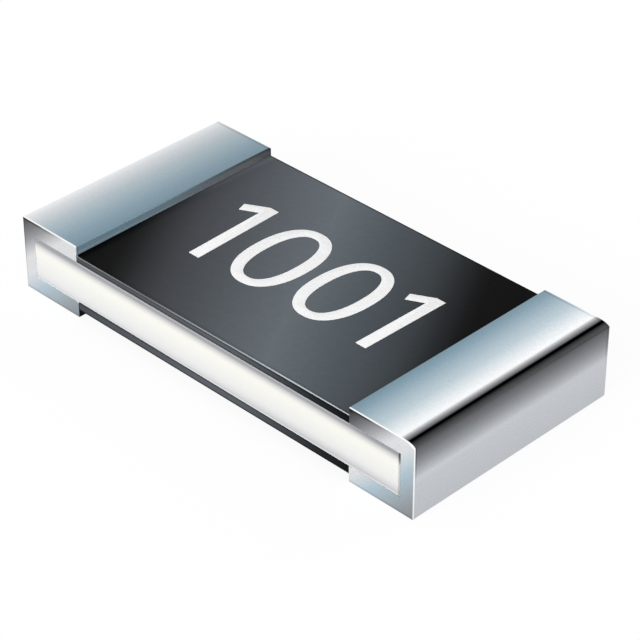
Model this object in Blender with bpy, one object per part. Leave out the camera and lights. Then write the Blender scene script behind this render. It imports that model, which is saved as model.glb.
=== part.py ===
"""Thick-film chip resistor, case size 1206, built in the layers that a real one is printed and plated in.

A white ceramic chip carries printed silver electrodes, a resistor film over them, a glass layer over the
film, and a black coat over both. A laser has cut an L through film and glass, and the coat fills that cut.
Each end is wrapped by three metals, one over the other: a sputtered layer, nickel, and a bright tin cap.

Metres, +Z up, X along the chip. The origin is the middle of the underside.
"""

import math

import bmesh
import bpy

# The whole chip
LENGTH = 3.20e-3
WIDTH = 1.60e-3
HEIGHT = 0.50e-3

# The tin caps, with what lies under them
CAP_REACH = 0.48e-3
END_WALL = 0.10e-3
TOP_LIP = 0.107e-3
BOTTOM_LIP = 0.107e-3
SIDE_RECESS = 0.002e-3
CORNER_RADIUS = 0.006e-3
EDGE_BEVEL = 0.004e-3

# How far the right cap's outer top edge is rounded, along the chip and down its end
ROUND_ALONG = 0.095e-3
ROUND_DOWN = 0.028e-3

# Layers, each as thick as it prints or plates
ELECTRODE_THICK = 0.012e-3
FILM_THICK = 0.012e-3
GLASS_THICK = 0.010e-3
SPUTTER_THICK = 0.008e-3
NICKEL_THICK = 0.012e-3
TOP_COAT_THICK = 0.057e-3
BOTTOM_COAT_THICK = 0.057e-3

# Layers seen from above
ELECTRODE_WIDTH = 1.48e-3
TOP_ELECTRODE_REACH = 0.75e-3
BOTTOM_ELECTRODE_REACH = 0.60e-3
SPUTTER_WRAP = 0.30e-3
FILM_OVERLAP = 0.12e-3
FILM_WIDTH = 1.20e-3
GLASS_END_MARGIN = 0.030e-3
GLASS_SIDE_MARGIN = 0.020e-3
COAT_SIDE_MARGIN = 0.001e-3
COAT_EDGE_RADIUS = 0.005e-3

# The laser's cut: it enters at the near side of the film, then turns along it
CUT_WIDTH = 0.050e-3
CUT_X = 0.28e-3
CUT_DEPTH = 0.62e-3
CUT_RUN = 0.50e-3

# Touching layers stay this far apart
SEAT = 0.001e-3

ROUND_STEPS = 6
BEVEL_STEPS = 3

# Worked out from the sizes above
CERAMIC_LENGTH = LENGTH - 2 * END_WALL
CERAMIC_WIDTH = WIDTH - 2 * SIDE_RECESS
CERAMIC_TOP = HEIGHT - TOP_LIP
CERAMIC_BOTTOM = BOTTOM_LIP
CERAMIC_HALF_LENGTH = CERAMIC_LENGTH / 2
CERAMIC_MIDDLE = (CERAMIC_TOP + CERAMIC_BOTTOM) / 2
CERAMIC_HALF_HEIGHT = CERAMIC_TOP - CERAMIC_MIDDLE
CAP_TIP = LENGTH / 2 - CAP_REACH
COAT_WIDTH = CERAMIC_WIDTH - 2 * COAT_SIDE_MARGIN
TOP_ELECTRODE_TIP = CERAMIC_HALF_LENGTH - TOP_ELECTRODE_REACH
BOTTOM_ELECTRODE_TIP = CERAMIC_HALF_LENGTH - BOTTOM_ELECTRODE_REACH
SPUTTER_TIP = LENGTH / 2 - SPUTTER_WRAP
FILM_TIP = TOP_ELECTRODE_TIP + FILM_OVERLAP
GLASS_TIP = FILM_TIP - GLASS_END_MARGIN
GLASS_WIDTH = FILM_WIDTH - 2 * GLASS_SIDE_MARGIN

SIDES = {"left": -1, "right": 1}


def clear_scene():
    for old in list(bpy.data.objects):
        bpy.data.objects.remove(old)


def material(name, colour, roughness, metallic):
    made = bpy.data.materials.new(name)
    made.use_nodes = True
    shader = made.node_tree.nodes["Principled BSDF"]
    shader.inputs["Base Color"].default_value = (*colour, 1.0)
    shader.inputs["Roughness"].default_value = roughness
    shader.inputs["Metallic"].default_value = metallic
    return made


def skin(name, rings, finish):
    """One closed body through rings of points, with the first and last ring filled."""
    work = bmesh.new()
    loops = [[work.verts.new(point) for point in ring] for ring in rings]
    for one, other in zip(loops, loops[1:]):
        for place in range(len(one)):
            after = (place + 1) % len(one)
            work.faces.new((one[place], one[after], other[after], other[place]))
    work.faces.new(loops[0])
    work.faces.new(loops[-1])
    bmesh.ops.recalc_face_normals(work, faces=work.faces)
    mesh = bpy.data.meshes.new(name)
    work.to_mesh(mesh)
    work.free()
    mesh.shade_smooth()
    mesh.set_sharp_from_angle(angle=math.radians(35))
    made = bpy.data.objects.new(name, mesh)
    bpy.context.collection.objects.link(made)
    if finish is not None:
        mesh.materials.append(finish)
    return made


def prism_across(name, section, width, finish=None):
    """A section in X and Z, carried across the chip."""
    return skin(name, [[(x, y, z) for x, z in section] for y in (-width / 2, width / 2)], finish)


def prism_along(name, section, half_length, finish=None):
    """A section in Y and Z, carried along the chip."""
    return skin(name, [[(x, y, z) for y, z in section] for x in (-half_length, half_length)], finish)


def slab(name, outline, bottom, top, finish=None):
    """An outline in X and Y, carried up."""
    return skin(name, [[(x, y, z) for x, y in outline] for z in (bottom, top)], finish)


def rectangle(x_from, x_to, low, high):
    return [(x_from, low), (x_to, low), (x_to, high), (x_from, high)]


def boolean(body, other, operation):
    other.hide_render = True
    other.display_type = "WIRE"
    cut = body.modifiers.new(other.name, "BOOLEAN")
    cut.object = other
    cut.operation = operation
    cut.solver = "EXACT"


def oval_arc(centre, radii, start, stop, steps):
    """Points round a centre between two angles in degrees, both ends included."""
    angles = [math.radians(start + (stop - start) * step / steps) for step in range(steps + 1)]
    return [(centre[0] + radii[0] * math.cos(a), centre[1] + radii[1] * math.sin(a)) for a in angles]


def arc(centre, radius, start, stop, steps):
    return oval_arc(centre, (radius, radius), start, stop, steps)


def on_side(side, section):
    """A section drawn for the right end, or its mirror image for the left one."""
    return [(side * x, z) for x, z in section]


def both_faces(upper):
    """A path given as (x, height over the ceramic's middle), from the tip to the end, and back below."""
    above = [(x, CERAMIC_MIDDLE + rise) for x, rise in upper]
    below = [(x, CERAMIC_MIDDLE - rise) for x, rise in reversed(upper)]
    return above + below


def wrap_section(outer, inner):
    """A C between two such paths, open towards the middle of the chip."""
    return both_faces(outer) + both_faces(inner)[::-1]


# What lies round each end, as paths over the middle of the ceramic

def sputter_inside():
    rise = CERAMIC_HALF_HEIGHT + ELECTRODE_THICK + SEAT
    return [(SPUTTER_TIP, rise), (CERAMIC_HALF_LENGTH + SEAT, rise)]


def sputter_outside():
    rise = CERAMIC_HALF_HEIGHT + ELECTRODE_THICK + SPUTTER_THICK
    return [(SPUTTER_TIP, rise), (CERAMIC_HALF_LENGTH + SPUTTER_THICK, rise)]


def over_sputter(gap, thick):
    """A layer's surface that steps up over the tip of the sputtered metal."""
    low = CERAMIC_HALF_HEIGHT + ELECTRODE_THICK + gap + thick
    step = SPUTTER_TIP - gap - thick
    end = CERAMIC_HALF_LENGTH + SPUTTER_THICK + gap + thick
    return [(CAP_TIP, low), (step, low), (step, low + SPUTTER_THICK), (end, low + SPUTTER_THICK)]


def cap_section(outer_round, inset):
    """The tin cap's C with its corners rounded, shrunk by an inset towards the metal.

    The outer round is how far the outer top edge is rounded along the chip and down its end.
    """
    end = LENGTH / 2 - inset
    tip = CAP_TIP + inset
    top = HEIGHT - inset
    bottom = inset
    wall = CERAMIC_HALF_LENGTH + SEAT + inset
    rise = CERAMIC_HALF_HEIGHT + SEAT + inset
    along, down = (reach - inset for reach in outer_round)
    corner = CORNER_RADIUS - inset
    return (
        arc((tip + corner, top - corner), corner, 180, 90, BEVEL_STEPS)
        + oval_arc((end - along, top - down), (along, down), 90, 0, ROUND_STEPS)
        + arc((end - corner, bottom + corner), corner, 0, -90, BEVEL_STEPS)
        + arc((tip + corner, bottom + corner), corner, 270, 180, BEVEL_STEPS)
        + [(tip, CERAMIC_MIDDLE - rise), (wall, CERAMIC_MIDDLE - rise)]
        + [(wall, CERAMIC_MIDDLE + rise), (tip, CERAMIC_MIDDLE + rise)]
    )


def tin_cap(name, side, finish):
    outer_round = (ROUND_ALONG, ROUND_DOWN) if side > 0 else (CORNER_RADIUS, CORNER_RADIUS)
    stations = []
    for step in range(BEVEL_STEPS + 1):
        turn = math.radians(90 * step / BEVEL_STEPS)
        inset = EDGE_BEVEL * (1 - math.cos(turn))
        stations.append((WIDTH / 2 - EDGE_BEVEL * (1 - math.sin(turn)), inset))
    near = [(-y, inset) for y, inset in reversed(stations)]
    rings = []
    for y, inset in near + stations:
        section = on_side(side, cap_section(outer_round, inset))
        rings.append([(x, y, z) for x, z in section])
    cap = skin(name, rings, finish)
    room = both_faces(over_sputter(SEAT, NICKEL_THICK))
    mouth = CAP_TIP - EDGE_BEVEL
    room[0] = (mouth, room[0][1])
    room[-1] = (mouth, room[-1][1])
    pocket = prism_across(name + "_pocket", on_side(side, room), ELECTRODE_WIDTH + 2 * SEAT)
    boolean(cap, pocket, "DIFFERENCE")


def nickel_barrier(name, side, finish):
    section = wrap_section(over_sputter(0, NICKEL_THICK), over_sputter(SEAT, 0))
    prism_across(name, on_side(side, section), ELECTRODE_WIDTH, finish)


def end_electrode(name, side, finish):
    section = wrap_section(sputter_outside(), sputter_inside())
    prism_across(name, on_side(side, section), ELECTRODE_WIDTH, finish)


def printed_electrode(name, side, tip, face, finish):
    """A flat silver print on the ceramic's top (face 1) or underside (face -1)."""
    low = CERAMIC_MIDDLE + face * (CERAMIC_HALF_HEIGHT + SEAT)
    high = CERAMIC_MIDDLE + face * (CERAMIC_HALF_HEIGHT + ELECTRODE_THICK)
    section = rectangle(tip, CERAMIC_HALF_LENGTH, low, high)
    prism_across(name, on_side(side, section), ELECTRODE_WIDTH, finish)


# What lies across the middle

def stepped(reach, step, level):
    """A path from right to left that lies at one level and steps up onto the electrodes at both ends."""
    up = level + ELECTRODE_THICK
    right = [(reach, up), (step, up), (step, level)]
    return right + [(-x, z) for x, z in reversed(right)]


def film_top(grow=0.0):
    return stepped(
        FILM_TIP + grow, TOP_ELECTRODE_TIP - FILM_THICK - grow, CERAMIC_TOP + FILM_THICK + grow
    )


def film_section():
    under = stepped(FILM_TIP, TOP_ELECTRODE_TIP - SEAT, CERAMIC_TOP + SEAT)
    return under + film_top()[::-1]


def glass_top(grow=0.0):
    return stepped(
        GLASS_TIP + grow,
        TOP_ELECTRODE_TIP - FILM_THICK - GLASS_THICK - grow,
        CERAMIC_TOP + FILM_THICK + GLASS_THICK + grow,
    )


def glass_section():
    under = stepped(
        GLASS_TIP, TOP_ELECTRODE_TIP - FILM_THICK - SEAT, CERAMIC_TOP + FILM_THICK + SEAT
    )
    return under + glass_top()[::-1]


def room_under(top):
    """The space from the ceramic's middle up to a layer's upper surface."""
    return [(top[0][0], CERAMIC_MIDDLE)] + top + [(top[-1][0], CERAMIC_MIDDLE)]


def cut_outline(shrink, start):
    """The L that the laser cuts, with a round corner outside and a round end."""
    half = CUT_WIDTH / 2 - shrink
    turn_y = CUT_DEPTH - FILM_WIDTH / 2
    end_x = CUT_X - CUT_RUN
    return (
        [(CUT_X - half, start), (CUT_X + half, start)]
        + arc((CUT_X, turn_y), half, 0, 90, ROUND_STEPS)
        + arc((end_x, turn_y), half, 90, 270, 2 * ROUND_STEPS)
        + [(CUT_X - half, turn_y - half)]
    )


def laser_cut():
    return slab("laser_cut", cut_outline(0, -CERAMIC_WIDTH / 2), CERAMIC_MIDDLE, HEIGHT)


def coat_section(low, high, face):
    """A coat's section across the chip, with its two outer edges rounded. Face is 1 up or -1 down."""
    half = COAT_WIDTH / 2
    radius = COAT_EDGE_RADIUS
    right = [(half, low)] + [
        (y, high - face * (radius - rise))
        for y, rise in arc((half - radius, 0), radius, 0, 90, BEVEL_STEPS)
    ]
    return right + [(-y, z) for y, z in reversed(right)]


def top_coat(finish):
    low = CERAMIC_TOP + SEAT
    top = CERAMIC_TOP + TOP_COAT_THICK
    coat = prism_along("top_overcoat", coat_section(low, top, 1), CAP_TIP - SEAT, finish)
    for label, side in SIDES.items():
        over_electrode = CERAMIC_TOP + ELECTRODE_THICK + SEAT
        room = rectangle(TOP_ELECTRODE_TIP - SEAT, LENGTH / 2, CERAMIC_MIDDLE, over_electrode)
        name = "top_electrode_room_" + label
        cutter = prism_across(name, on_side(side, room), ELECTRODE_WIDTH + 2 * SEAT)
        boolean(coat, cutter, "DIFFERENCE")
    film_room = prism_across("film_room", room_under(film_top(SEAT)), FILM_WIDTH + 2 * SEAT)
    boolean(coat, film_room, "DIFFERENCE")
    glass_room = prism_across("glass_room", room_under(glass_top(SEAT)), GLASS_WIDTH + 2 * SEAT)
    boolean(coat, glass_room, "DIFFERENCE")
    rib_start = -(FILM_WIDTH + COAT_WIDTH) / 4
    rib_top = (CERAMIC_TOP + FILM_THICK + GLASS_THICK + top) / 2
    rib = slab("rib_in_the_cut", cut_outline(SEAT, rib_start), low, rib_top)
    boolean(coat, rib, "UNION")


def bottom_coat(finish):
    section = coat_section(CERAMIC_BOTTOM - SEAT, CERAMIC_BOTTOM - BOTTOM_COAT_THICK, -1)
    coat = prism_along("bottom_overcoat", section, CAP_TIP - SEAT, finish)
    for label, side in SIDES.items():
        under_electrode = CERAMIC_BOTTOM - ELECTRODE_THICK - SEAT
        room = rectangle(BOTTOM_ELECTRODE_TIP - SEAT, LENGTH / 2, under_electrode, CERAMIC_MIDDLE)
        name = "bottom_electrode_room_" + label
        cutter = prism_across(name, on_side(side, room), ELECTRODE_WIDTH + 2 * SEAT)
        boolean(coat, cutter, "DIFFERENCE")


def main():
    clear_scene()
    white_ceramic = material("white_ceramic", (0.93, 0.92, 0.88), 0.45, 0.0)
    black_coat = material("black_coat", (0.020, 0.022, 0.024), 0.18, 0.0)
    bright_tin = material("bright_tin", (0.80, 0.84, 0.88), 0.22, 1.0)
    dull_nickel = material("dull_nickel", (0.55, 0.53, 0.48), 0.35, 1.0)
    sputtered = material("sputtered_metal", (0.45, 0.46, 0.48), 0.30, 1.0)
    silver_print = material("silver_print", (0.75, 0.74, 0.71), 0.55, 1.0)
    resistor_ink = material("resistor_ink", (0.035, 0.030, 0.028), 0.60, 0.0)
    green_glass = material("green_glass", (0.10, 0.26, 0.20), 0.12, 0.0)

    chip = rectangle(-CERAMIC_HALF_LENGTH, CERAMIC_HALF_LENGTH, CERAMIC_BOTTOM, CERAMIC_TOP)
    prism_across("ceramic_substrate", chip, CERAMIC_WIDTH, white_ceramic)
    for label, side in SIDES.items():
        printed_electrode("top_electrode_" + label, side, TOP_ELECTRODE_TIP, 1, silver_print)
        printed_electrode("bottom_electrode_" + label, side, BOTTOM_ELECTRODE_TIP, -1, silver_print)
        end_electrode("end_electrode_" + label, side, sputtered)
        nickel_barrier("nickel_barrier_" + label, side, dull_nickel)
        tin_cap("tin_cap_" + label, side, bright_tin)

    cutter = laser_cut()
    film = prism_across("resistor_film", film_section(), FILM_WIDTH, resistor_ink)
    boolean(film, cutter, "DIFFERENCE")
    glass = prism_across("glass_layer", glass_section(), GLASS_WIDTH, green_glass)
    boolean(glass, cutter, "DIFFERENCE")
    top_coat(black_coat)
    bottom_coat(black_coat)


main()
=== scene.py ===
"""Looks of a thick-film chip resistor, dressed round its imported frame. Metres, +Z up, X along the chip."""

import math

import bmesh
import bpy
from mathutils import Matrix, Vector

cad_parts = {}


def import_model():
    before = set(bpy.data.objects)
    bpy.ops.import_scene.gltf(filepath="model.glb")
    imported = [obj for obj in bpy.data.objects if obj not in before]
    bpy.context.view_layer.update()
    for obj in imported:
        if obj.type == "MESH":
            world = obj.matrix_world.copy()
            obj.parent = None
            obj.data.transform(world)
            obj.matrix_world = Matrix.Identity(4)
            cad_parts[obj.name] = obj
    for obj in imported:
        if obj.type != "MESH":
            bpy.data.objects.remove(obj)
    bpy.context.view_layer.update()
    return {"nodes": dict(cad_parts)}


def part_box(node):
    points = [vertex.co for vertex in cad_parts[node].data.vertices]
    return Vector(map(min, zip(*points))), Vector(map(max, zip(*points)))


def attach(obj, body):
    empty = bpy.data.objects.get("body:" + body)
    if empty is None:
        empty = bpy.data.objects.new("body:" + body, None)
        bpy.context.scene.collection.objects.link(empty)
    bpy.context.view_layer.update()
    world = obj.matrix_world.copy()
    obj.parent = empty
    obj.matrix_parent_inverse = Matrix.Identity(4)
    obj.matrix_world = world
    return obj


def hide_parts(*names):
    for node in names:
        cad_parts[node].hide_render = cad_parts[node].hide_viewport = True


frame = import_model()

MM = 0.001
SIDES = {"left": -1, "right": 1}

# Places read from the frame
CAP_LOW, CAP_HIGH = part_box("tin_cap_right")
CHIP_LOW, CHIP_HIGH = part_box("ceramic_substrate")
NICKEL_LOW, NICKEL_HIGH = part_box("nickel_barrier_right")
COAT_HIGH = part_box("top_overcoat")[1]
END = CAP_HIGH.x
TIP = CAP_LOW.x
HALF_WIDTH = CAP_HIGH.y
TOP = CAP_HIGH.z

# The same places in millimetres, the unit that the materials use
END_MM, TIP_MM, FAR_MM, TOP_MM = (place / MM for place in (END, TIP, HALF_WIDTH, TOP))
NEAR_MM = -FAR_MM

# Roundings of the metal, the ceramic and the ink, and the gap between touching layers
CORNER_ROUND = 0.006 * MM
OUTER_ROUND = {"left": (CORNER_ROUND, CORNER_ROUND), "right": (0.095 * MM, 0.028 * MM)}
TIP_ROUND = {"left": CORNER_ROUND, "right": 0.002 * MM}
EDGE_ROUND = 0.004 * MM
LEAST_ROUND = 0.0005 * MM
CHIP_ROUND = 0.0015 * MM
INK_ROUND = 0.0015 * MM
SEAT = 0.001 * MM

# How finely the roundings are divided, and the angle from which an edge stays sharp
OUTER_STEPS = {"left": 8, "right": 32}
CORNER_STEPS = 8
EDGE_STEPS = 6
CHIP_STEPS = 4
INK_STEPS = 2
SHARP_ANGLE = math.radians(35)

# The printed code: four plain digits, which shrink, rise and fan out a little along the chip
INK_THICK = 0.004 * MM
ONE_HALF_HEIGHT = 0.3317 * MM
ZERO_OUTER = (0.2158 * MM, 0.3427 * MM)
ZERO_INNER = (0.1312 * MM, 0.2769 * MM)
ZERO_SQUARENESS = 2.26
ZERO_STEPS = 96
STEM_HALF = 0.0402 * MM
FLAG_SHOULDER = 0.029 * MM
FLAG_REACH = (0.174 * MM, 0.156 * MM)
FLAG_DROP = (0.078 * MM, 0.141 * MM)
FLAG_NOTCH = 0.0825 * MM
CODE = [("one", -0.6326 * MM), ("zero", -0.2354 * MM), ("zero", 0.2686 * MM), ("one", 0.7190 * MM)]
CODE_MIDDLE = 0.0252 * MM
CODE_RISE = 0.007
CODE_SHRINK = 0.04 / MM
CODE_LEAN = -0.010
CODE_FAN = 0.04 / MM

# The camera, which looks at a point near the chip's middle
CAMERA_AZIMUTH = 44.91
CAMERA_ELEVATION = 34.43
CAMERA_DISTANCE = 14.94 * MM
AIM_RIGHT = 0.074 * MM
AIM_UP = -0.094 * MM
LENS = 144.15
CLIP = (1.0 * MM, 500.0 * MM)

# The stage: each lamp's azimuth, elevation, strength and softness, the world's levels and the floor
LAMPS = {"key": (5.0, 25.0, 2.21, 50.0), "back": (180.0, 20.0, 0.94, 50.0)}
WORLD_LIGHT = 0.6
WORLD_SEEN = 1.0
FLOOR_RADIUS = 60.0 * MM
FLOOR_SIDES = 96
FLOOR_GREY = 0.1
FLOOR_GLOW = 0.90


# Meshes

def link(name, mesh):
    made = bpy.data.objects.new(name, mesh)
    bpy.context.scene.collection.objects.link(made)
    return made


def skin(name, rings):
    """One closed body through rings of points, with the first and last ring filled."""
    work = bmesh.new()
    loops = [[work.verts.new(point) for point in ring] for ring in rings]
    for one, other in zip(loops, loops[1:]):
        for place in range(len(one)):
            after = (place + 1) % len(one)
            work.faces.new((one[place], one[after], other[after], other[place]))
    work.faces.new(loops[0])
    work.faces.new(loops[-1])
    bmesh.ops.recalc_face_normals(work, faces=work.faces)
    mesh = bpy.data.meshes.new(name)
    work.to_mesh(mesh)
    work.free()
    return link(name, mesh)


def slab(name, outline, levels):
    """A flat outline, raised between two levels."""
    return skin(name, [[(x, y, z) for x, y in outline] for z in levels])


def block(name, low, high):
    outline = [(low.x, low.y), (high.x, low.y), (high.x, high.y), (low.x, high.y)]
    return slab(name, outline, (low.z, high.z))


def arc(centre, radii, start, stop, steps):
    """Points round a centre between two angles in degrees, both ends included."""
    angles = [math.radians(start + (stop - start) * step / steps) for step in range(steps + 1)]
    return [(centre[0] + radii[0] * math.cos(a), centre[1] + radii[1] * math.sin(a)) for a in angles]


def cut_away(piece, tool):
    cut = piece.modifiers.new("cut", "BOOLEAN")
    cut.object = tool
    cut.solver = "EXACT"


def round_edges(piece, width, steps):
    bevel = piece.modifiers.new("round", "BEVEL")
    bevel.width = width
    bevel.segments = steps
    bevel.limit_method = "ANGLE"


def settle(piece, tool=None):
    """Applies the modifiers, drops the tool that cut the piece and smooths all but its flat faces."""
    graph = bpy.context.evaluated_depsgraph_get()
    piece.data = bpy.data.meshes.new_from_object(piece.evaluated_get(graph))
    piece.modifiers.clear()
    if tool:
        bpy.data.objects.remove(tool)
    piece.data.shade_smooth()
    piece.data.set_sharp_from_angle(angle=SHARP_ANGLE)
    weigh = piece.modifiers.new("flat_faces", "WEIGHTED_NORMAL")
    weigh.keep_sharp = True


# Shader building blocks

NOISE_DETAIL = 3.0
NOISE_SPAN = (0.3, 0.7)


def colour(code):
    """The linear colour of a six-digit code such as a1b2c3."""
    parts = [int(code[place:place + 2], 16) / 255 for place in (0, 2, 4)]
    linear = [p / 12.92 if p <= 0.04045 else ((p + 0.055) / 1.055) ** 2.4 for p in parts]
    return (*linear, 1.0)


class Nodes:
    """A material's node tree with short names for its nodes. Its x, y and z are in millimetres."""

    def __init__(self, name):
        self.material = bpy.data.materials.new(name)
        self.material.use_nodes = True
        self.tree = self.material.node_tree
        self.shader = self.tree.nodes["Principled BSDF"]
        self.point = self.add("ShaderNodeTexCoord").outputs["Object"]
        in_mm = self.add("ShaderNodeVectorMath", operation="SCALE")
        in_mm.inputs["Scale"].default_value = 1 / MM
        self.wire(self.point, in_mm.inputs[0])
        self.x, self.y, self.z = self.split(in_mm.outputs["Vector"])
        self.nx, self.ny, self.nz = self.split(self.add("ShaderNodeNewGeometry").outputs["Normal"])
        self.far_out = self.math("ABSOLUTE", self.x)

    def add(self, kind, **settings):
        made = self.tree.nodes.new(kind)
        for name, value in settings.items():
            setattr(made, name, value)
        return made

    def wire(self, source, target):
        if isinstance(source, bpy.types.NodeSocket):
            self.tree.links.new(source, target)
        else:
            target.default_value = source

    def split(self, vector):
        node = self.add("ShaderNodeSeparateXYZ")
        self.wire(vector, node.inputs[0])
        return node.outputs

    def math(self, operation, first, second=0.0, third=0.0):
        node = self.add("ShaderNodeMath", operation=operation)
        for place, value in enumerate((first, second, third)):
            self.wire(value, node.inputs[place])
        return node.outputs[0]

    def line(self, value, slope, base):
        """The value times a slope, plus a base."""
        return self.math("MULTIPLY_ADD", value, slope, base)

    def fade(self, value, start, stop, low=0.0, high=1.0):
        """Smoothly from low at start to high at stop."""
        node = self.add("ShaderNodeMapRange", interpolation_type="SMOOTHSTEP")
        for place, item in enumerate((value, start, stop, low, high)):
            self.wire(item, node.inputs[place])
        return node.outputs[0]

    def drop(self, value, start=0.0, stop=1.0):
        """One up to start and nothing from stop on, which also turns a share round."""
        return self.fade(value, start, stop, 1.0, 0.0)

    def band(self, value, rise, fall):
        """One between two soft ends."""
        return self.all_of(self.fade(value, *rise), self.drop(value, *fall))

    def all_of(self, first, *others):
        """The product of some shares."""
        for share in others:
            first = self.math("MULTIPLY", first, share)
        return first

    def fades(self, *pairs):
        """The product of some fades, each of a value by its own span."""
        return self.all_of(*[self.fade(value, *span) for value, span in pairs])

    def ramp(self, value, stops):
        """A colour that follows a value through (value, colour code) stops."""
        start, stop = stops[0][0], stops[-1][0]
        share = self.add("ShaderNodeMapRange")
        for place, item in enumerate((value, start, stop)):
            self.wire(item, share.inputs[place])
        node = self.add("ShaderNodeValToRGB")
        elements = node.color_ramp.elements
        while len(elements) < len(stops):
            elements.new(1.0)
        for element, (at, code) in zip(elements, stops):
            element.position = (at - start) / (stop - start)
            element.color = colour(code)
        self.wire(share.outputs[0], node.inputs[0])
        return node.outputs[0]

    def blend(self, share, first, second):
        node = self.add("ShaderNodeMix", data_type="RGBA")
        self.wire(share, node.inputs["Factor"])
        self.wire(first, node.inputs["A"])
        self.wire(second, node.inputs["B"])
        return node.outputs["Result"]

    def scaled(self, base, level):
        """A colour times a number."""
        node = self.add("ShaderNodeVectorMath", operation="SCALE")
        self.wire(base, node.inputs[0])
        self.wire(level, node.inputs["Scale"])
        return node.outputs["Vector"]

    def shaded(self, base, share, level):
        """A colour that is times a level where the share is one."""
        return self.scaled(base, self.fade(share, 0.0, 1.0, 1.0, level))

    def lifted(self, base, *lifts):
        """A colour made brighter by small lifts."""
        total = 1.0
        for lift in lifts:
            total = self.math("ADD", total, lift)
        return self.scaled(base, total)

    def noise(self, scale):
        """Noise with so many bumps a millimetre."""
        node = self.add("ShaderNodeTexNoise")
        node.inputs["Scale"].default_value = scale / MM
        node.inputs["Detail"].default_value = NOISE_DETAIL
        self.wire(self.point, node.inputs["Vector"])
        return node.outputs[0]

    def varied(self, grain, low, high):
        """From low to high with the grain."""
        return self.fade(grain, *NOISE_SPAN, low, high)

    def mixed(self, grain, colours):
        """From one colour to another with the grain."""
        return self.blend(self.varied(grain, 0.0, 1.0), *[colour(code) for code in colours])

    def bump(self, scale, depth, strength):
        node = self.add("ShaderNodeBump")
        node.inputs["Distance"].default_value = depth
        node.inputs["Strength"].default_value = strength
        self.wire(self.noise(scale), node.inputs["Height"])
        self.wire(node.outputs[0], self.shader.inputs["Normal"])

    def finish(self, base, roughness, relief, **constants):
        self.wire(base, self.shader.inputs["Base Color"])
        self.wire(roughness, self.shader.inputs["Roughness"])
        self.bump(*relief)
        for name, value in constants.items():
            self.shader.inputs[name.replace("_", " ")].default_value = value
        return self.material

    def grained(self, base, kind, **constants):
        """A finish whose colour and roughness vary a little with a fine grain."""
        scale, levels, roughness = GRAIN[kind]
        grain = self.noise(scale)
        base = self.scaled(base, self.varied(grain, *levels))
        return self.finish(base, self.varied(grain, *roughness), RELIEF[kind], **constants)


# Finishes, painted by the place on the part, with painted light and shade on the tin, the ceramic and the
# coats: a span is a start and a stop, and sometimes the levels at both

# Each finish's grain: bumps a millimetre, and the levels and roughness that it varies between
GRAIN = {
    "tin": (40, (0.985, 1.015), (0.22, 0.28)),
    "ceramic": (45, (0.970, 0.985), (0.42, 0.52)),
    "coat": (25, (0.980, 1.020), (0.22, 0.30)),
}

# Each finish's relief: bumps a millimetre, depth and strength
RELIEF = {
    "tin": (60, 0.0003 * MM, 0.1),
    "ceramic": (120, 0.001 * MM, 0.2),
    "coat": (14, 0.001 * MM, 0.1),
    "ink": (80, 0.0005 * MM, 0.2),
}

# How far a face has to turn to count as the side, the top or the end
TO_SIDE = (0.72, 0.90)
TO_TOP = (0.3, 0.6)
TO_END = (0.6, 0.9)
FACING_DOWN = -0.5

# Painted reflections on the tin by the way along its top and down its end, which is the distance out less
# the height
REACH_REFLECTION_COLOURS = {
    "left": [
        (0.61, "6f8594"), (0.64, "79919d"), (0.73, "869caa"), (0.83, "9aadb6"), (0.93, "b2bdc3"),
        (1.03, "d0d4d8"), (1.09, "e7e9ea"), (1.099, "f4f5f5"),
    ],
    "right": [
        (0.61, "738c99"), (0.675, "859fae"), (0.85, "bfced6"), (0.985, "f8f9fa"), (0.998, "f2f3f4"),
        (1.005, "caccce"), (1.024, "8d8e91"), (1.035, "737477"), (1.044, "4a4a4c"), (1.051, "000000"),
        (1.065, "000000"), (1.09, "3a3b3d"),
    ],
}
END_REFLECTION_COLOURS = [
    (1.10, "434446"), (1.12, "565659"), (1.18, "707277"), (1.24, "8f9297"), (1.30, "b1b4b9"),
    (1.335, "c4c8cd"), (1.60, "bbbec2"),
]
# The span of the right cap's painted dark reflection band, which is also made matt
DARK_REFLECTION_BAND = ((1.040, 1.050), (1.068, 1.080))
# Painted shade: the left cap's top and end a little darker towards the far side
LEFT_LEVELS = (NEAR_MM, FAR_MM, 1.03, 0.94)

# Painted shade and painted light on the right cap's top and end, by the reach and by the place across
BAND_START = (1.04, 1.06)
BAND_SHADE = (1.06, 1.17, 0.55, 0.08)
BAND_ACROSS = (-0.3, FAR_MM)
EDGE_SHADE = (0.985, 1.010, 0.0, 0.1)
EDGE_ACROSS = (0.2, FAR_MM)
NEAR_LIFT = (NEAR_MM, 0.5, 0.05, 0.0)
NEAR_LIFT_REACH = ((1.10, 1.16), (1.33, 1.38))
FAR_LIFT = (-0.2, FAR_MM, 0.0, 0.07)
FAR_LIFT_REACH = (1.28, 1.38)

# Painted reflections on the tin's long sides by a slanting way, one for a cap's length along and one for
# each fall below the top
FLANK_REFLECTION_COLOURS = {
    "left": [
        (0.0, "3c3c3d"), (0.1, "4d4d4e"), (0.4, "7b7c7f"), (0.61, "9a9b9e"), (1.03, "dddee0"),
        (1.45, "dddee1"), (1.9, "b3c6d1"), (2.5, "9ba5aa"), (2.9, "8c9398"),
    ],
    "right": [
        (0.0, "1c1c1d"), (0.164, "454648"), (0.27, "595a5d"), (0.48, "828387"), (0.69, "a9aaad"),
        (0.9, "d2d3d6"), (1.0, "dfe0e2"), (1.3, "dedfe2"), (1.45, "ccd6db"), (1.7, "b1c4d0"),
        (2.2, "9aa3a9"), (2.5, "8c9093"),
    ],
}
FLANK_LENGTH = 0.38
FLANK_FALL = {"left": 0.29, "right": 0.36}
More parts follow.
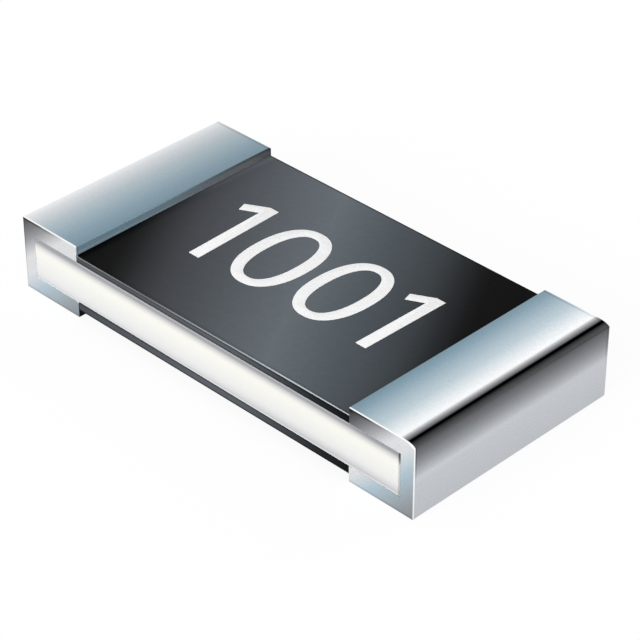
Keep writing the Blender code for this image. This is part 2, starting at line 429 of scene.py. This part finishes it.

# Painted shade lines on the long sides, by the depth below the top and the slanting way, and their levels
FLANK_SHADE = ((0.014, 0.026), (0.5, 1.0))
FLANK_SHADE_LEVEL = {"left": 0.75, "right": 0.85}
FLANK_LINE = ((0.011, 0.014), (0.35, 0.55))
FLANK_LINE_LEVEL = 0.35
# Painted shade along the foot, at the left cap's outer end and in the right cap's upper corner by the tip
FLANK_FOOT = (0.008, 0.024, 0.78, 1.0)
LEFT_END_LINE = (END_MM - 0.013, END_MM - 0.008)
LEFT_END_HEIGHT = (0.0, 0.45, 0.25, 1.0)
LEFT_END_LEVEL = 0.5
RIGHT_CORNER = ((0.015, 0.040), (TIP_MM + 0.010, TIP_MM + 0.050))
RIGHT_CORNER_LEVEL = 0.22

# The window in the tin's long sides, through which the ceramic shows
WINDOW_HEIGHTS = ((0.012, 0.020), (TOP_MM - 0.040, TOP_MM - 0.030))
WINDOW_REACH = ((TIP_MM + 0.010, TIP_MM + 0.020), (END_MM - 0.025, END_MM - 0.015))

# The step down to the coat, painted with reflections and shade by height at its near and far ends, and a
# painted shade line along its upper edge across the chip
STEP_REFLECTION_COLOURS = {
    "near": [
        (0.450, "a4bcc8"), (0.456, "a2bbc9"), (0.461, "88a6b9"), (0.470, "92aebd"), (0.477, "8ba5b4"),
        (0.486, "8fa8b8"), (0.490, "97b4c2"), (0.495, "95b6c7"), (0.500, "7a93a3"),
    ],
    "far": [(0.450, "818488"), (0.487, "818488"), (0.495, "575e62"), (0.500, "4b5358")],
}
STEP_TURN = {"left": (0.2, 0.6), "right": (0.7, 0.95)}
STEP_MATT = 0.9
STEP_ACROSS = (-0.5, 0.6)
# Painted shade towards the far end of the step
STEP_FAR_SHADE = (0.6, FAR_MM, 1.0, 0.6)
STEP_EDGE_SHADE_COLOURS = [(-0.8, "748d9c"), (-0.2, "5c6b75"), (0.2, "46525a"), (0.5, "323e45"), (0.75, "202a30")]
STEP_EDGE_WIDTH = 0.003
STEP_EDGE_WIDENING = (-0.2, 0.7, 0.0, 0.012)
STEP_EDGE_TURN = (0.5, 0.8)

# Painted lines along the tin's far and near edges, by the distance in from the side: a shade line at the far
# edge of the top, a white highlight on the near edges and a shade line beside it on the end face
FAR_EDGE = ((0.008, 0.013), (0.020, 0.025))
FAR_EDGE_LEVEL = 0.78
# The painted white highlight on the near edges
RIM_SIDE = (0.85, 0.97)
RIM_WIDTH = (0.007, 0.011)
RIM_FOOT = (0.004, 0.012)
RIM_SHARES = (0.0, 0.3, 0.65, 0.95)
RIM_DULL_TIP = (TIP_MM + 0.005, TIP_MM + 0.010)
RIM_HIGHLIGHT_COLOUR = "ffffff"
# The painted shade line beside the highlight, on the end face
BESIDE_RIM = ((0.013, 0.014), (0.019, 0.022))
BESIDE_RIM_HEIGHT = (0.15, 0.40)
BESIDE_RIM_LEVEL = 0.6


def tin_wrap(nodes, label, reach):
    """The metal over the top and down the end, with painted reflections, and painted shade and light that
    change a little from the near side to the far one.
    """
    # Painted reflections, with the right cap's painted dark band
    wrap = nodes.ramp(reach, REACH_REFLECTION_COLOURS[label] + END_REFLECTION_COLOURS)
    if label == "left":
        return nodes.scaled(wrap, nodes.fade(nodes.y, *LEFT_LEVELS))
    # Painted shade below the dark band and just past the white edge, towards the far side
    band_shade = nodes.fades((nodes.y, BAND_ACROSS), (reach, BAND_START), (reach, BAND_SHADE))
    edge_shade = nodes.fades((nodes.y, EDGE_ACROSS), (reach, EDGE_SHADE))
    wrap = nodes.scaled(wrap, nodes.math("SUBTRACT", 1.0, nodes.math("MAXIMUM", band_shade, edge_shade)))
    # Painted light on the end face: in its middle at the near side, low down at the far side
    near_painted_light = nodes.all_of(nodes.fade(nodes.y, *NEAR_LIFT), nodes.band(reach, *NEAR_LIFT_REACH))
    far_painted_light = nodes.fades((nodes.y, FAR_LIFT), (reach, FAR_LIFT_REACH))
    return nodes.lifted(wrap, near_painted_light, far_painted_light)


def tin_flank(nodes, label):
    """The metal's long sides with painted reflections, and painted shade lines along their edges."""
    inner_end = TIP_MM if label == "right" else -END_MM
    across = nodes.line(nodes.x, 1 / FLANK_LENGTH, -inner_end / FLANK_LENGTH)
    depth = nodes.math("SUBTRACT", TOP_MM, nodes.z)
    slant = nodes.line(depth, 1 / FLANK_FALL[label], across)
    # Painted reflections on the long sides
    flank = nodes.ramp(slant, FLANK_REFLECTION_COLOURS[label])
    # Painted shade lines below the top edge
    for marks, level in ((FLANK_SHADE, FLANK_SHADE_LEVEL[label]), (FLANK_LINE, FLANK_LINE_LEVEL)):
        share = nodes.all_of(nodes.drop(depth, *marks[0]), nodes.drop(slant, *marks[1]))
        flank = nodes.shaded(flank, share, level)
    # Painted shade along the foot
    flank = nodes.scaled(flank, nodes.fade(nodes.z, *FLANK_FOOT))
    if label == "left":
        # Painted shade along the left cap's outer end, stronger higher up
        end_line = nodes.fades((nodes.far_out, LEFT_END_LINE), (nodes.z, LEFT_END_HEIGHT))
        return nodes.shaded(flank, end_line, LEFT_END_LEVEL)
    # Painted shade in the right cap's upper corner by the tip
    corner = nodes.all_of(nodes.drop(depth, *RIGHT_CORNER[0]), nodes.drop(nodes.far_out, *RIGHT_CORNER[1]))
    return nodes.shaded(flank, corner, RIGHT_CORNER_LEVEL)


def tin_step(nodes, upper_lip):
    """The metal's wall above the coat, painted with reflections and shade. The same wall of the lower lip is
    painted black as shade.
    """
    near, far = (nodes.ramp(nodes.z, STEP_REFLECTION_COLOURS[part]) for part in ("near", "far"))
    step = nodes.blend(nodes.fade(nodes.y, *STEP_ACROSS), near, far)
    return nodes.scaled(step, nodes.all_of(upper_lip, nodes.fade(nodes.y, *STEP_FAR_SHADE)))


def step_edge(nodes):
    """The share of the top that is a painted shade line along the step, wider at the far side."""
    widening = nodes.fade(nodes.y, *STEP_EDGE_WIDENING)
    past_tip = nodes.math("SUBTRACT", nodes.math("SUBTRACT", nodes.far_out, TIP_MM), widening)
    return nodes.all_of(nodes.drop(past_tip, 0.0, STEP_EDGE_WIDTH), nodes.fade(nodes.nz, *STEP_EDGE_TURN))


def painted_rim_highlight(nodes, label, from_side, turned, window):
    """The share of the near edges that has a painted white highlight, more so higher up."""
    dull_half = nodes.math("GREATER_THAN" if label == "right" else "LESS_THAN", nodes.z, TOP_MM / 2)
    dull_tip = nodes.all_of(
        dull_half, nodes.drop(nodes.far_out, *RIM_DULL_TIP), nodes.drop(nodes.nz, *TO_TOP)
    )
    return nodes.all_of(
        nodes.drop(from_side, *RIM_WIDTH), nodes.drop(turned, *RIM_SIDE),
        nodes.math("LESS_THAN", nodes.y, 0.0), nodes.fade(nodes.z, *RIM_FOOT),
        nodes.drop(window), nodes.drop(dull_tip), nodes.fade(nodes.z, *RIM_SHARES),
    )


def tin(label):
    """Bright tin with painted reflections: steel blue towards the coat, white towards the end, and a painted
    dark band where the end face starts.
    """
    nodes = Nodes("bright_tin_" + label)
    turned = nodes.math("ABSOLUTE", nodes.ny)
    from_side = nodes.math("SUBTRACT", FAR_MM, nodes.math("ABSOLUTE", nodes.y))
    facing_down = nodes.math("LESS_THAN", nodes.nz, FACING_DOWN)
    height = nodes.fade(facing_down, 0.0, 1.0, nodes.z, TOP_MM)
    reach = nodes.math("SUBTRACT", nodes.far_out, height)
    flank = tin_flank(nodes, label)
    base = nodes.blend(nodes.fade(turned, *TO_SIDE), tin_wrap(nodes, label, reach), flank)
    window = nodes.all_of(nodes.band(nodes.z, *WINDOW_HEIGHTS), nodes.band(nodes.far_out, *WINDOW_REACH))
    base = nodes.blend(window, base, flank)

    if label == "left":
        # A painted shade line along the left cap's step
        base = nodes.blend(step_edge(nodes), base, nodes.ramp(nodes.y, STEP_EDGE_SHADE_COLOURS))
    upper_lip = nodes.math("GREATER_THAN", nodes.z, TOP_MM / 2)
    towards_coat = nodes.math("MULTIPLY", nodes.nx, -float(SIDES[label]))
    inwards = nodes.all_of(
        nodes.fade(towards_coat, *STEP_TURN[label]), nodes.math("SUBTRACT", 1.0, window)
    )
    base = nodes.blend(inwards, base, tin_step(nodes, upper_lip))

    # Painted shade line along the far edge of the top
    far_edge = nodes.all_of(
        nodes.band(from_side, *FAR_EDGE), nodes.math("GREATER_THAN", nodes.y, 0.0),
        nodes.fade(nodes.nz, *TO_TOP),
    )
    base = nodes.shaded(base, far_edge, FAR_EDGE_LEVEL)
    # Painted shade line beside the highlight, on the end face
    beside_rim = nodes.all_of(
        nodes.band(from_side, *BESIDE_RIM), nodes.fades((nodes.nx, TO_END), (nodes.z, BESIDE_RIM_HEIGHT))
    )
    base = nodes.shaded(base, beside_rim, BESIDE_RIM_LEVEL)
    # A painted white highlight along the near edges
    base = nodes.blend(painted_rim_highlight(nodes, label, from_side, turned, window), base, colour(RIM_HIGHLIGHT_COLOUR))

    # Mostly matt on the upper lip's step, and matt in the right cap's painted dark band
    matt = nodes.all_of(inwards, upper_lip, STEP_MATT)
    if label == "right":
        matt = nodes.math("MAXIMUM", matt, nodes.band(reach, *DARK_REFLECTION_BAND))
    nodes.wire(nodes.math("SUBTRACT", 1.0, matt), nodes.shader.inputs["Metallic"])
    return nodes.grained(base, "tin", Specular_IOR_Level=0.0)


# The ceramic's long sides by height, which fall a little along the chip: ivory, with painted shade below the
# upper edge and above the lower one and a painted highlight right at the lower edge; and the lines on them
CERAMIC_COLOURS_AND_SHADE = [
    (0.107, "ffffff"), (0.113, "fafbfd"), (0.119, "e3e5e8"), (0.125, "e2e3e5"), (0.14, "f0f0f1"),
    (0.17, "f6f6f6"), (0.28, "fdfdf6"), (0.31, "fdfbf5"), (0.325, "f5f4ef"), (0.352, "d3d3d2"),
    (0.368, "acacaf"), (0.375, "9e9fa2"), (0.381, "a4a5a8"), (0.386, "b3b4b8"), (0.393, "b1b2b6"),
]
CERAMIC_FALL = -0.002
# The ceramic's top, painted grey as shade under the coat
CERAMIC_TOP_SHADE_COLOUR = "b4b6ba"
CERAMIC_TOP_TURN = (0.3, 0.8)
# A painted shade line along the ceramic's top where it shows under the caps' upper lips
LIP_LINE = (0.378, 0.384)
LIP_LINE_REACH = (TIP_MM - 0.02, TIP_MM + 0.01)
LIP_SHADE_COLOUR = "9b9ca0"
COAT_LINE_HEIGHT = 0.1092
COAT_LINE_FALL = -0.0034
COAT_LINE_WIDTH = (-0.001, 0.001)
COAT_LINE_REACH = (TIP_MM - 0.01, TIP_MM + 0.01)
COAT_LINE_COLOUR = "3c4043"

# Painted shade on the ceramic by the height and the way along, and their levels, and at the ceramic's right
# end
LOW_SHADE = ((0.10, 0.21), (-1.2, 1.2))
LOW_SHADE_LEVEL = 0.835
RIGHT_SHADE = ((0.30, 0.34), (-0.5, 1.0))
RIGHT_SHADE_LEVEL = 0.983
WINDOW_END = (END_MM - 0.1165, END_MM - 0.1095)
WINDOW_END_HEIGHT = (0.30, 0.37, 0.45, 1.0)
WINDOW_END_LEVEL = 0.2


def ceramic():
    """Ivory ceramic, with painted shade below its upper edge and above its lower one."""
    nodes = Nodes("white_ceramic")
    base = nodes.ramp(nodes.line(nodes.x, CERAMIC_FALL, nodes.z), CERAMIC_COLOURS_AND_SHADE)
    # Painted shade line under the caps' upper lips
    lip_line = nodes.fades((nodes.z, LIP_LINE), (nodes.far_out, LIP_LINE_REACH))
    base = nodes.blend(lip_line, base, colour(LIP_SHADE_COLOUR))
    above_line = nodes.math("SUBTRACT", nodes.z, nodes.line(nodes.x, COAT_LINE_FALL, COAT_LINE_HEIGHT))
    coat_line = nodes.all_of(
        nodes.drop(above_line, *COAT_LINE_WIDTH), nodes.drop(nodes.far_out, *COAT_LINE_REACH)
    )
    base = nodes.blend(coat_line, base, colour(COAT_LINE_COLOUR))
    # Painted shade low down and towards the right
    for (heights, along), level in ((LOW_SHADE, LOW_SHADE_LEVEL), (RIGHT_SHADE, RIGHT_SHADE_LEVEL)):
        share = nodes.all_of(nodes.drop(nodes.z, *heights), nodes.fade(nodes.x, *along))
        base = nodes.shaded(base, share, level)
    # Painted shade at the ceramic's right end, stronger higher up
    window_end = nodes.fades((nodes.x, WINDOW_END), (nodes.z, WINDOW_END_HEIGHT))
    base = nodes.shaded(base, window_end, WINDOW_END_LEVEL)
    # Painted shade on the ceramic's top
    base = nodes.blend(nodes.fade(nodes.nz, *CERAMIC_TOP_TURN), base, colour(CERAMIC_TOP_SHADE_COLOUR))
    return nodes.grained(base, "ceramic", Specular_IOR_Level=0.2)


# The black coats, with painted sheen, light and shade: their faces by a slanting way, their sides and near
# upper edge by the way along
SHEEN_SLANT = 0.58
PAINTED_SHEEN_COLOURS = [
    (-1.45, "040404"), (-1.3, "0d0d0e"), (-1.2, "1c1d1e"), (-0.93, "3c3e43"), (0.0, "636a70"),
    (0.4, "4f565c"), (0.82, "393e42"), (1.0, "232629"), (1.12, "111213"), (1.2, "070708"),
    (1.45, "030303"),
]
# Painted light on the faces towards the far left and the near right
SHEEN_FAR_LIFT = (-1.0, -0.2, 0.13, 0.0)
SHEEN_FAR_ACROSS = (-0.7, -0.1)
SHEEN_NEAR_LIFT = (0.1, 1.0, 0.0, 0.07)
SHEEN_NEAR_ACROSS = (-0.6, 0.2)
# At the foot of the left cap's step: a painted shade line, a painted light line and painted light beside
# them
FOOT_SLANT = 0.0125
FOOT_PLACE = 0.004 - TIP_MM
DARK_FOOT = (0.010, 0.014)
DARK_FOOT_ACROSS = (-0.5, 0.05)
DARK_FOOT_LEVEL = 0.1
LIGHT_FOOT = (-0.001, 0.001)
FOOT_HIGHLIGHT_COLOUR = "74848a"
LIT_FOOT = (0.001 - TIP_MM, 0.080 - TIP_MM)
LIT_FOOT_ACROSS = (-0.1, 0.4)
LIT_FOOT_LEVEL = 1.55
# Painted shade along the faces' near and far edges
FACE_NEAR_EDGE = (NEAR_MM + 0.010, NEAR_MM + 0.030, 0.82, 1.0)
FACE_FAR_EDGE = (FAR_MM - 0.019, FAR_MM - 0.014, 1.0, 0.4)
# The coats' sides, with painted light in the middle of each height and painted shade towards the right and
# at the foot
COAT_SIDE_SHADED_COLOURS = [
    (-1.11, "484b50"), (0.0, "595d62"), (0.3, "54595e"), (0.85, "22262a"), (1.11, "0a0b0d"),
]
COAT_SIDE_BANDS = [((0.394, 0.415), (0.416, 0.437)), ((0.053, 0.067), (0.090, 0.104))]
COAT_SIDE_LEVELS = (0.0, 1.0, 0.55, 1.1)
COAT_SIDE_FOOT = (0.054, 0.067, 0.25, 1.0)
# A painted highlight along the top coat's near upper edge, brighter towards the right
COAT_EDGE_HIGHLIGHT_COLOURS = [
    (-1.11, "88898c"), (-0.5, "787b7f"), (-0.2, "999da1"), (0.2, "a7acb1"), (0.6, "c0c5c9"),
    (1.11, "c0c3c6"),
]
COAT_EDGE_HEIGHT = 0.4408
COAT_EDGE_RISE = 0.0063
COAT_EDGE_WIDTH = (0.003, 0.006)
COAT_EDGE_ABOVE = (0.0, 0.004)
COAT_TURN = (0.95, 0.99)


def coat_face(nodes):
    """A painted broad slanting sheen, with a painted shade line and a painted light line at the foot of the
    left cap's step.
    """
    # A painted sheen, with painted light towards the far left and the near right
    sheen = nodes.ramp(nodes.line(nodes.y, SHEEN_SLANT, nodes.x), PAINTED_SHEEN_COLOURS)
    far_painted_light = nodes.fades((nodes.x, SHEEN_FAR_LIFT), (nodes.y, SHEEN_FAR_ACROSS))
    near_painted_light = nodes.all_of(nodes.fade(nodes.x, *SHEEN_NEAR_LIFT), nodes.drop(nodes.y, *SHEEN_NEAR_ACROSS))
    sheen = nodes.lifted(sheen, far_painted_light, near_painted_light)
    # Painted shade line, light line and painted light at the foot of the left cap's step
    from_step = nodes.math("SUBTRACT", nodes.line(nodes.y, FOOT_SLANT, nodes.x), FOOT_PLACE)
    dark_foot = nodes.all_of(nodes.drop(from_step, *DARK_FOOT), nodes.drop(nodes.y, *DARK_FOOT_ACROSS))
    sheen = nodes.shaded(sheen, dark_foot, DARK_FOOT_LEVEL)
    sheen = nodes.blend(nodes.drop(from_step, *LIGHT_FOOT), sheen, colour(FOOT_HIGHLIGHT_COLOUR))
    lit_foot = nodes.all_of(nodes.drop(nodes.x, *LIT_FOOT), nodes.fade(nodes.y, *LIT_FOOT_ACROSS))
    sheen = nodes.shaded(sheen, lit_foot, LIT_FOOT_LEVEL)
    # Painted shade along the near and far edges
    return nodes.scaled(sheen, nodes.fades((nodes.y, FACE_NEAR_EDGE), (nodes.y, FACE_FAR_EDGE)))


def coat_side(nodes):
    """Painted lighter in the middle of each coat's height, and painted darker towards the right end and at
    the foot, as light and shade.
    """
    middle = nodes.math("MAXIMUM", *[nodes.band(nodes.z, *ends) for ends in COAT_SIDE_BANDS])
    side = nodes.ramp(nodes.x, COAT_SIDE_SHADED_COLOURS)
    side = nodes.scaled(side, nodes.fade(middle, *COAT_SIDE_LEVELS))
    return nodes.scaled(side, nodes.fade(nodes.z, *COAT_SIDE_FOOT))


def coat():
    """Black coat with a painted broad slanting sheen and a painted highlight along its near upper edge."""
    nodes = Nodes("black_coat")
    face = coat_face(nodes)
    above_line = nodes.math("SUBTRACT", nodes.z, nodes.line(nodes.x, COAT_EDGE_RISE, COAT_EDGE_HEIGHT))
    side = nodes.blend(nodes.fade(above_line, *COAT_EDGE_ABOVE), coat_side(nodes), face)
    turned = nodes.drop(nodes.nz, *COAT_TURN)
    base = nodes.blend(turned, face, side)
    # A painted highlight along the near upper edge
    edge = nodes.all_of(
        nodes.math("GREATER_THAN", nodes.z, TOP_MM / 2), turned, nodes.math("LESS_THAN", nodes.y, 0.0),
        nodes.drop(nodes.math("ABSOLUTE", above_line), *COAT_EDGE_WIDTH),
    )
    base = nodes.blend(edge, base, nodes.ramp(nodes.x, COAT_EDGE_HIGHLIGHT_COLOURS))
    return nodes.grained(base, "coat", Specular_IOR_Level=0.02)


# The ink: its two colours, bumps a millimetre and roughness
INK_COLOURS = ("f3f3f4", "eeeeef")
INK_GRAIN = 50
INK_ROUGHNESS = 0.5


def ink():
    nodes = Nodes("white_ink")
    base = nodes.mixed(nodes.noise(INK_GRAIN), INK_COLOURS)
    return nodes.finish(base, INK_ROUGHNESS, RELIEF["ink"], Specular_IOR_Level=0.2)


# The hidden layers: two colours, bumps a millimetre, least roughness, metallic and nodes
HIDDEN_LAYERS = {
    "silver_print": (("a9a7a2", "cfcdc8"), 60, 0.50, 1.0,
                     [f"{face}_electrode_{label}" for face in ("top", "bottom") for label in SIDES]),
    "sputter": (("6e7074", "86888c"), 80, 0.30, 1.0, [f"end_electrode_{label}" for label in SIDES]),
    "nickel": (("9b968b", "b5afa3"), 70, 0.30, 1.0, [f"nickel_barrier_{label}" for label in SIDES]),
    "resistor_ink": (("232021", "37322f"), 90, 0.55, 0.0, ["resistor_film"]),
    "green_glass": (("375c50", "4a7263"), 30, 0.10, 0.0, ["glass_layer"]),
}
HIDDEN_ROUGHER = 0.1
HIDDEN_DEPTH = 0.001 * MM
HIDDEN_STRENGTH = 0.3


def hidden_layer(name, colours, scale, roughness, metallic):
    nodes = Nodes(name)
    grain = nodes.noise(scale)
    roughness = nodes.varied(grain, roughness, roughness + HIDDEN_ROUGHER)
    relief = (2 * scale, HIDDEN_DEPTH, HIDDEN_STRENGTH)
    return nodes.finish(nodes.mixed(grain, colours), roughness, relief, Metallic=metallic)


# Pieces

def cap_section(label, inset):
    """The cap's C with its corners rounded, shrunk by an inset towards the metal."""
    along, down = (reach - inset for reach in OUTER_ROUND[label])
    corner = CORNER_ROUND - inset
    at_tip = max(TIP_ROUND[label] - inset, LEAST_ROUND)
    end = END - inset
    tip = TIP + inset
    top = TOP - inset
    wall = CHIP_HIGH.x + SEAT + inset
    above = CHIP_HIGH.z + SEAT + inset
    below = CHIP_LOW.z - SEAT - inset
    return (
        arc((tip + at_tip, top - at_tip), (at_tip, at_tip), 180, 90, CORNER_STEPS)
        + arc((end - along, top - down), (along, down), 90, 0, OUTER_STEPS[label])
        + arc((end - corner, inset + corner), (corner, corner), 0, -90, CORNER_STEPS)
        + arc((tip + corner, inset + corner), (corner, corner), 270, 180, CORNER_STEPS)
        + [(tip, below), (wall, below), (wall, above), (tip, above)]
    )


def nickel_room(side):
    """The room that the cap leaves for the layers below the tin."""
    low = Vector((TIP - EDGE_ROUND, NICKEL_LOW.y - SEAT, NICKEL_LOW.z - SEAT))
    high = Vector((NICKEL_HIGH.x + SEAT, NICKEL_HIGH.y + SEAT, NICKEL_HIGH.z + SEAT))
    if side < 0:
        low.x, high.x = -high.x, -low.x
    return block("room", low, high)


def tin_cap(label, side):
    stations = []
    for step in range(EDGE_STEPS + 1):
        turn = math.radians(90 * step / EDGE_STEPS)
        inset = EDGE_ROUND * (1 - math.cos(turn))
        stations.append((HALF_WIDTH - EDGE_ROUND * (1 - math.sin(turn)), inset))
    near = [(-y, inset) for y, inset in reversed(stations)]
    rings = [[(side * x, y, z) for x, z in cap_section(label, inset)] for y, inset in near + stations]
    cap = skin("cap_skin_" + label, rings)
    room = nickel_room(side)
    cut_away(cap, room)
    settle(cap, room)
    cap.data.materials.append(tin(label))
    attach(cap, "root")
    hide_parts("tin_cap_" + label)


def chip():
    body = block("ceramic_chip", CHIP_LOW, CHIP_HIGH)
    round_edges(body, CHIP_ROUND, CHIP_STEPS)
    settle(body)
    body.data.materials.append(ceramic())
    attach(body, "root")
    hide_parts("ceramic_substrate")


def oval(half_sizes):
    """Points round a squarish oval."""
    power = 2 / ZERO_SQUARENESS
    points = []
    for step in range(ZERO_STEPS):
        turn = 2 * math.pi * step / ZERO_STEPS
        along, up = math.cos(turn), math.sin(turn)
        x = half_sizes[0] * math.copysign(abs(along) ** power, along)
        y = half_sizes[1] * math.copysign(abs(up) ** power, up)
        points.append((x, y))
    return points


def one_outline():
    head = ONE_HALF_HEIGHT
    return [
        (-STEM_HALF, -ONE_HALF_HEIGHT),
        (STEM_HALF, -ONE_HALF_HEIGHT),
        (STEM_HALF, head),
        (-FLAG_SHOULDER, head),
        (-FLAG_REACH[0], head - FLAG_DROP[0]),
        (-FLAG_REACH[1], head - FLAG_DROP[1]),
        (-STEM_HALF, head - FLAG_NOTCH),
    ]


def placed(points, along):
    """A digit's points on the coat, by how far along the chip the digit stands."""
    size = 1 - CODE_SHRINK * along
    lean = CODE_LEAN + CODE_FAN * along
    middle = CODE_MIDDLE + CODE_RISE * along
    return [(along + size * x + lean * (middle + size * y), middle + size * y) for x, y in points]


def digit(number, kind, along, finish):
    """One raised digit, cut from a slab of ink."""
    foot = COAT_HIGH.z
    outline = placed(one_outline() if kind == "one" else oval(ZERO_OUTER), along)
    made = slab(f"printed_digit_{number}", outline, (foot, foot + INK_THICK))
    hole = None
    if kind == "zero":
        hole = slab("hole", placed(oval(ZERO_INNER), along), (foot - INK_THICK, foot + 2 * INK_THICK))
        cut_away(made, hole)
    round_edges(made, INK_ROUND, INK_STEPS)
    settle(made, hole)
    made.data.materials.append(finish)
    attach(made, "root")


def dress(names, finish):
    """Gives nodes that keep their own mesh a new finish."""
    for name in names:
        mesh = frame["nodes"][name].data
        mesh.materials.clear()
        mesh.materials.append(finish)


# Stage

def light_path_share(tree):
    """One for rays from the camera, a reflection or a transmission, and nothing for the others."""
    path = tree.nodes.new("ShaderNodeLightPath")
    total = path.outputs["Is Camera Ray"]
    for name in ("Is Glossy Ray", "Is Transmission Ray"):
        both = tree.nodes.new("ShaderNodeMath")
        both.operation = "MAXIMUM"
        tree.links.new(total, both.inputs[0])
        tree.links.new(path.outputs[name], both.inputs[1])
        total = both.outputs[0]
    return total


def floor():
    """A pale floor that the camera and the metal see as white, with the object's shadow on it."""
    bpy.ops.mesh.primitive_circle_add(
        vertices=FLOOR_SIDES, radius=FLOOR_RADIUS, fill_type="NGON", location=(0, 0, -SEAT)
    )
    made = bpy.context.object
    made.name = "floor"
    paper = bpy.data.materials.new("pale_floor")
    paper.use_nodes = True
    tree = paper.node_tree
    tree.nodes.clear()
    plain = tree.nodes.new("ShaderNodeBsdfDiffuse")
    plain.inputs["Color"].default_value = (FLOOR_GREY, FLOOR_GREY, FLOOR_GREY, 1.0)
    lift = tree.nodes.new("ShaderNodeMath")
    lift.operation = "MULTIPLY"
    lift.inputs[1].default_value = FLOOR_GLOW
    tree.links.new(light_path_share(tree), lift.inputs[0])
    glow = tree.nodes.new("ShaderNodeEmission")
    tree.links.new(lift.outputs[0], glow.inputs["Strength"])
    total = tree.nodes.new("ShaderNodeAddShader")
    tree.links.new(plain.outputs[0], total.inputs[0])
    tree.links.new(glow.outputs[0], total.inputs[1])
    output = tree.nodes.new("ShaderNodeOutputMaterial")
    tree.links.new(total.outputs[0], output.inputs["Surface"])
    made.data.materials.append(paper)


def world():
    made = bpy.data.worlds.new("studio")
    bpy.context.scene.world = made
    made.use_nodes = True
    tree = made.node_tree
    level = tree.nodes.new("ShaderNodeMapRange")
    level.inputs["To Min"].default_value = WORLD_LIGHT
    level.inputs["To Max"].default_value = WORLD_SEEN
    tree.links.new(light_path_share(tree), level.inputs["Value"])
    background = tree.nodes["Background"]
    background.inputs["Color"].default_value = (1.0, 1.0, 1.0, 1.0)
    tree.links.new(level.outputs[0], background.inputs["Strength"])


def backwards(azimuth, elevation):
    """From the part towards a camera or a lamp. Azimuth 0 looks along +Y."""
    a, e = math.radians(azimuth), math.radians(elevation)
    return Vector((math.sin(a) * math.cos(e), -math.cos(a) * math.cos(e), math.sin(e)))


def lamp(name, azimuth, elevation, strength, softness):
    """A soft far lamp."""
    light = bpy.data.lights.new(name, "SUN")
    light.energy = strength
    light.angle = math.radians(softness)
    made = link(name, light)
    made.rotation_mode = "QUATERNION"
    made.rotation_quaternion = backwards(azimuth, elevation).to_track_quat("Z", "Y")


def camera():
    back = backwards(CAMERA_AZIMUTH, CAMERA_ELEVATION)
    right = Vector((-back.y, back.x, 0.0)).normalized()
    up = back.cross(right)
    aim = Vector((0.0, 0.0, TOP / 2)) + right * AIM_RIGHT + up * AIM_UP
    eye = bpy.data.cameras.new("camera")
    eye.lens = LENS
    eye.clip_start, eye.clip_end = CLIP
    made = link("camera", eye)
    turn = Matrix((right, up, back)).transposed().to_4x4()
    made.matrix_world = Matrix.Translation(aim + back * CAMERA_DISTANCE) @ turn
    bpy.context.scene.camera = made


def main():
    camera()
    world()
    floor()
    for name, setting in LAMPS.items():
        lamp(name, *setting)

    for label, side in SIDES.items():
        tin_cap(label, side)
    chip()
    dress(["top_overcoat", "bottom_overcoat"], coat())
    white = ink()
    for number, (kind, along) in enumerate(CODE, start=1):
        digit(number, kind, along, white)
    for name, (*look, names) in HIDDEN_LAYERS.items():
        dress(names, hidden_layer(name, *look))

    bpy.context.scene.view_settings.view_transform = "Standard"


main()
